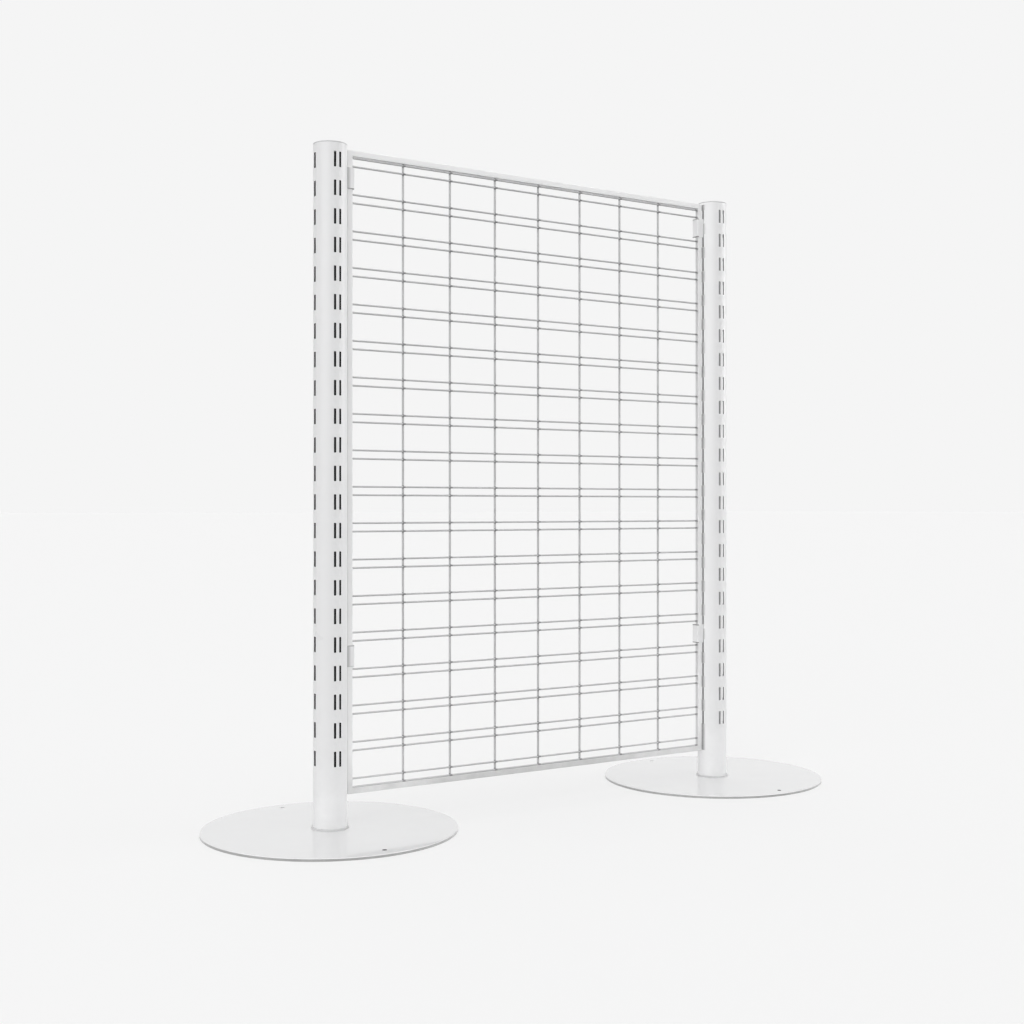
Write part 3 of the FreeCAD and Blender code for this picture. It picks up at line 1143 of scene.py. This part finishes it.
@dataclass
class PostCaps:
    """Moulded discs with a rounded rim that close the posts."""

    rim_radius: float = 0.0009
    rim_steps: int = 5
    plug_inset: float = 0.0022  # from the rim to the plug inside the tube
    gap_inset: float = 0.0004  # depth of the shadow gap between cap and tube
    gap_height: float = 0.0003
    gap_edge: float = 0.0005  # height at which the cap has its full width
    disc_share: float = 0.6  # share of the radius at which the flat disc is split
    steps: int = 96

    def _section(self, radius: float, low: float, seat: float, high: float) -> list[Point]:
        """Half section of a cap in (radius, z), from the axis and back to it."""
        plug, neck = radius - self.plug_inset, radius - self.gap_inset
        inner, under = radius - self.rim_radius, high - self.rim_radius
        return [
            (0.0, low), (plug, low), (plug, seat), (neck, seat), (neck, seat + self.gap_height),
            (radius, seat + self.gap_edge),
            *rounded_corner(inner, under, self.rim_radius, 0.0, self.rim_steps),
            (radius * self.disc_share, high), (0.0, high),
        ]

    def _lathe(self, section: Sequence[Point], centre: Vector) -> BMesh:
        """Turns a section about an upright axis through a point."""
        bm = bmesh.new()
        turns = [2 * math.pi * i / self.steps for i in range(self.steps)]
        rings = []
        for radius, z in section:
            ring = [(centre.x + radius * math.cos(a), centre.y + radius * math.sin(a), z)
                    for a in (turns if radius else turns[:1])]
            rings.append([bm.verts.new(place) for place in ring])
        skin_rings(bm, rings)
        return bm

    def build(self, finish: Material) -> None:
        """Builds both caps over their CAD nodes."""
        for side in Side:
            node = side.word + "_post_cap"
            low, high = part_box(node)
            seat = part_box(side.word + "_post")[1].z
            section = self._section((high.x - low.x) / 2, low.z, seat, high.z)
            bm = self._lathe(section, (low + high) / 2)
            register(finished(side.word + "_moulded_cap", bm, (finish,)), [node])


@dataclass
class FootWeld:
    """Rippled weld bead round the foot of each post."""

    bead_radius: float = 0.0021
    ring_radius: float = 0.0312
    ripples: int = 84
    lift: float = 0.0011  # height of the ripples' ring over the post's foot

    RING_POINTS = 64
    LEAST, MOST = (0.9, 0.9, 0.86), (1.12, 1.1, 1.1)
    SEED = 7

    def tree(self, values: dict[str, Any]) -> NodeTree:
        """Geometry tree that lays overlapping ripples round a circle."""
        w = GeometryWriter("weld_bead", values)
        given = w.given
        ring = w.ring(self.RING_POINTS, given["Ring Radius"])
        spread = {"Curve": ring, "Count": given["Ripples"]}
        along = w.add("GeometryNodeCurveToPoints", spread, mode="COUNT").outputs
        sizes = {0: self.LEAST, 1: self.MOST, "Seed": self.SEED}
        wobble = w.out("FunctionNodeRandomValue", sizes, data_type="FLOAT_VECTOR")
        ball = w.ball(given["Bead Radius"])
        beads = w.copies(along[0], ball, Rotation=along["Rotation"], Scale=wobble)
        height = w.math("ADD", given["Floor Z"], given["Lift"])
        moved = w.transform(beads, Translation=w.vector(given["Post X"], 0.0, height))
        return w.close(w.real(moved), ("Coat",))

    def build(self, coat: Material) -> None:
        """Lays a bead over the plain one of each floor plate."""
        tree = None
        for side in Side:
            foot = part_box(side.word + "_post")[0].z
            places = {"Post X": post_axis(side), "Floor Z": foot}
            values = {**socket_values(self), **places, "Coat": coat}
            tree = tree or self.tree(values)
            register(run_geometry_nodes(side.word + "_weld_bead", tree, values))


@dataclass
class FloorPlates:
    """Round plates under the posts; the CAD shape stays."""

    bolt_inset: float = 0.026  # from the rim to a bolt hole's axis
    bare_radius: float = 0.0042  # distance from that axis at which the painted shade ends

    def build(self, coat: CoatFinish) -> None:
        """Coats both plates, with painted shade in the bolt holes before the posts."""
        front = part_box(Side.RIGHT.word + "_floor_plate")[0].y
        hole_shade = BoltBore(post_axis(Side.RIGHT), front + self.bolt_inset, self.bare_radius)
        finish = coat.material(hole_shade)
        for side in Side:
            dress_node(side.word + "_floor_plate", finish)


@dataclass
class HookBrackets:
    """Folded clips round the stiles; the CAD shape stays."""

    fold: float = 0.0015  # thickness of the folded sheet
    # strength of the painted shade at the foot, at the top and along the post's side of each clip
    seams: tuple[tuple[str, float, float, float], ...] = (
        ("upper_left_bracket", 0.65, 0.1, 0.55),
        ("upper_right_bracket", 0.85, 0.7, 0.0),
        ("lower_left_bracket", 0.3, 0.6, 0.55),
        ("lower_right_bracket", 0.95, 0.95, 0.0),
    )

    def build(self, coat: CoatFinish) -> None:
        """Coats the four clips, with painted shade along their cut ends."""
        inner, outer = (corner.x + self.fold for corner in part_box("right_stile"))
        for node, foot, top, side in self.seams:
            low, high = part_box(node)
            extent = outer if side > 0.0 else inner
            end_shade = EndSeam(low.z, high.z, foot, top, extent, outer, side)
            dress_node(node, coat.material(end_shade))


@dataclass(frozen=True)
class SoftLamp:
    """A wide distant lamp."""

    name: str
    bearing: float  # degrees from -Y towards -X that the light comes from
    elevation: float  # degrees above the floor that it comes from
    spread: float  # angular width in degrees
    strength: float  # light on a face square to the lamp
    shadow: bool = True  # a fill lamp casts none
    gloss: bool = True  # whether the lamp shows in the gloss of the coats

    def build(self) -> None:
        """Adds the lamp to the scene."""
        data = bpy.data.lights.new(self.name, "SUN")
        data.energy = self.strength
        data.angle = math.radians(self.spread)
        data.use_shadow = self.shadow
        lamp = linked(self.name, data)
        lamp.visible_glossy = self.gloss
        a, e = math.radians(self.bearing), math.radians(self.elevation)
        source = Vector((-math.sin(a) * math.cos(e), -math.cos(a) * math.cos(e), math.sin(e)))
        lamp.rotation_mode = "QUATERNION"
        lamp.rotation_quaternion = (-source).to_track_quat("-Z", "Y")


@dataclass
class Studio:
    """Pale floor, soft light and the camera."""

    backdrop: float = 0.913
    ambient: float = 0.24
    floor_seen: float = 0.906  # tone of the floor for the viewer
    floor_bounce: float = 0.10  # tone of the floor in the light that it sends back
    floor_even: float = 0.6  # share of the seen floor that no shadow reaches
    floor_half: float = 150.0
    lamps: tuple[SoftLamp, ...] = (
        SoftLamp("top_softbox", 0.0, 90.0, 90.0, 1.82),
        SoftLamp("left_softbox", 56.0, 0.0, 60.0, 1.05),
        SoftLamp("left_fill", 56.0, 0.0, 60.0, 1.52, shadow=False),
        SoftLamp("right_softbox", -68.0, 0.0, 52.0, 0.97),
        SoftLamp("right_fill", -68.0, 0.0, 52.0, 1.24, shadow=False),
        SoftLamp("back_softbox", -162.0, 0.0, 50.0, 1.45, gloss=False),
    )
    camera_place: Triple = (-1.5854, -2.2803, 0.5708)
    camera_turn: float = 33.761  # degrees that the camera looks to the right of +Y
    focal_pixels: float = 1431.3
    image_pixels: float = 1024.0
    horizon_pixel: float = 507.0
    sensor: float = 36.0

    def _world(self) -> None:
        """Even light all round; the viewer sees the plain backdrop."""
        world = bpy.data.worlds.new("studio")
        bpy.context.scene.world = world
        w = ShaderWriter.of(world)
        white = (1.0, 1.0, 1.0, 1.0)
        light = w.out("ShaderNodeBackground", {"Color": white, "Strength": self.ambient})
        plain = w.out("ShaderNodeBackground", {"Color": white, "Strength": self.backdrop})
        mix = w.out("ShaderNodeMixShader", {0: w.seen(), 1: light, 2: plain})
        w.add("ShaderNodeOutputWorld", {"Surface": mix})

    def _floor(self) -> None:
        """Wide matt floor under the object, lit in part from within for the viewer."""
        bm = bmesh.new()
        half = self.floor_half
        corners = ((-half, -half), (half, -half), (half, half), (-half, half))
        bm.faces.new([bm.verts.new((x, y, 0.0)) for x, y in corners])
        floor = new_object("studio_floor", bm)
        material = bpy.data.materials.new("studio_floor_paint")
        w = ShaderWriter.of(material)
        seen = w.seen()
        lift = w.product(seen, self.floor_seen - self.floor_bounce)
        matt = w.out("ShaderNodeBsdfDiffuse", {"Color": w.math("ADD", lift, self.floor_bounce)})
        even = w.out("ShaderNodeEmission", {"Strength": self.backdrop})
        share = w.product(seen, self.floor_even)
        mix = w.out("ShaderNodeMixShader", {0: share, 1: matt, 2: even})
        w.add("ShaderNodeOutputMaterial", {"Surface": mix})
        floor.data.materials.append(material)
        floor.visible_shadow = False

    def _camera(self) -> None:
        """Level camera at the photograph's place."""
        data = bpy.data.cameras.new("view")
        data.sensor_width = self.sensor
        data.lens = self.focal_pixels / self.image_pixels * self.sensor
        data.shift_y = (self.horizon_pixel - self.image_pixels / 2) / self.image_pixels
        camera = linked("view", data)
        camera.location = self.camera_place
        camera.rotation_euler = (math.pi / 2, 0.0, -math.radians(self.camera_turn))
        bpy.context.scene.camera = camera

    def build(self) -> None:
        """Builds the world, floor, lamps and camera."""
        bpy.context.scene.view_settings.view_transform = "Standard"
        self._world()
        self._floor()
        for lamp in self.lamps:
            lamp.build()
        self._camera()


def main() -> None:
    """Builds every sub-assembly in order, then the studio."""
    logging.basicConfig(level=logging.INFO, format="%(name)s %(message)s")
    palette = Palette()
    FloorPlates().build(palette.plate)
    PunchedPost().build(palette)
    FootWeld().build(palette.weld.material())
    PostCaps().build(palette.cap.material())
    TubeFrame().build(palette.rail.material(), palette.inner_side.material())
    WireMesh().build(palette)
    HookBrackets().build(palette.bracket)
    Studio().build()


if __name__ == "__main__":
    main()
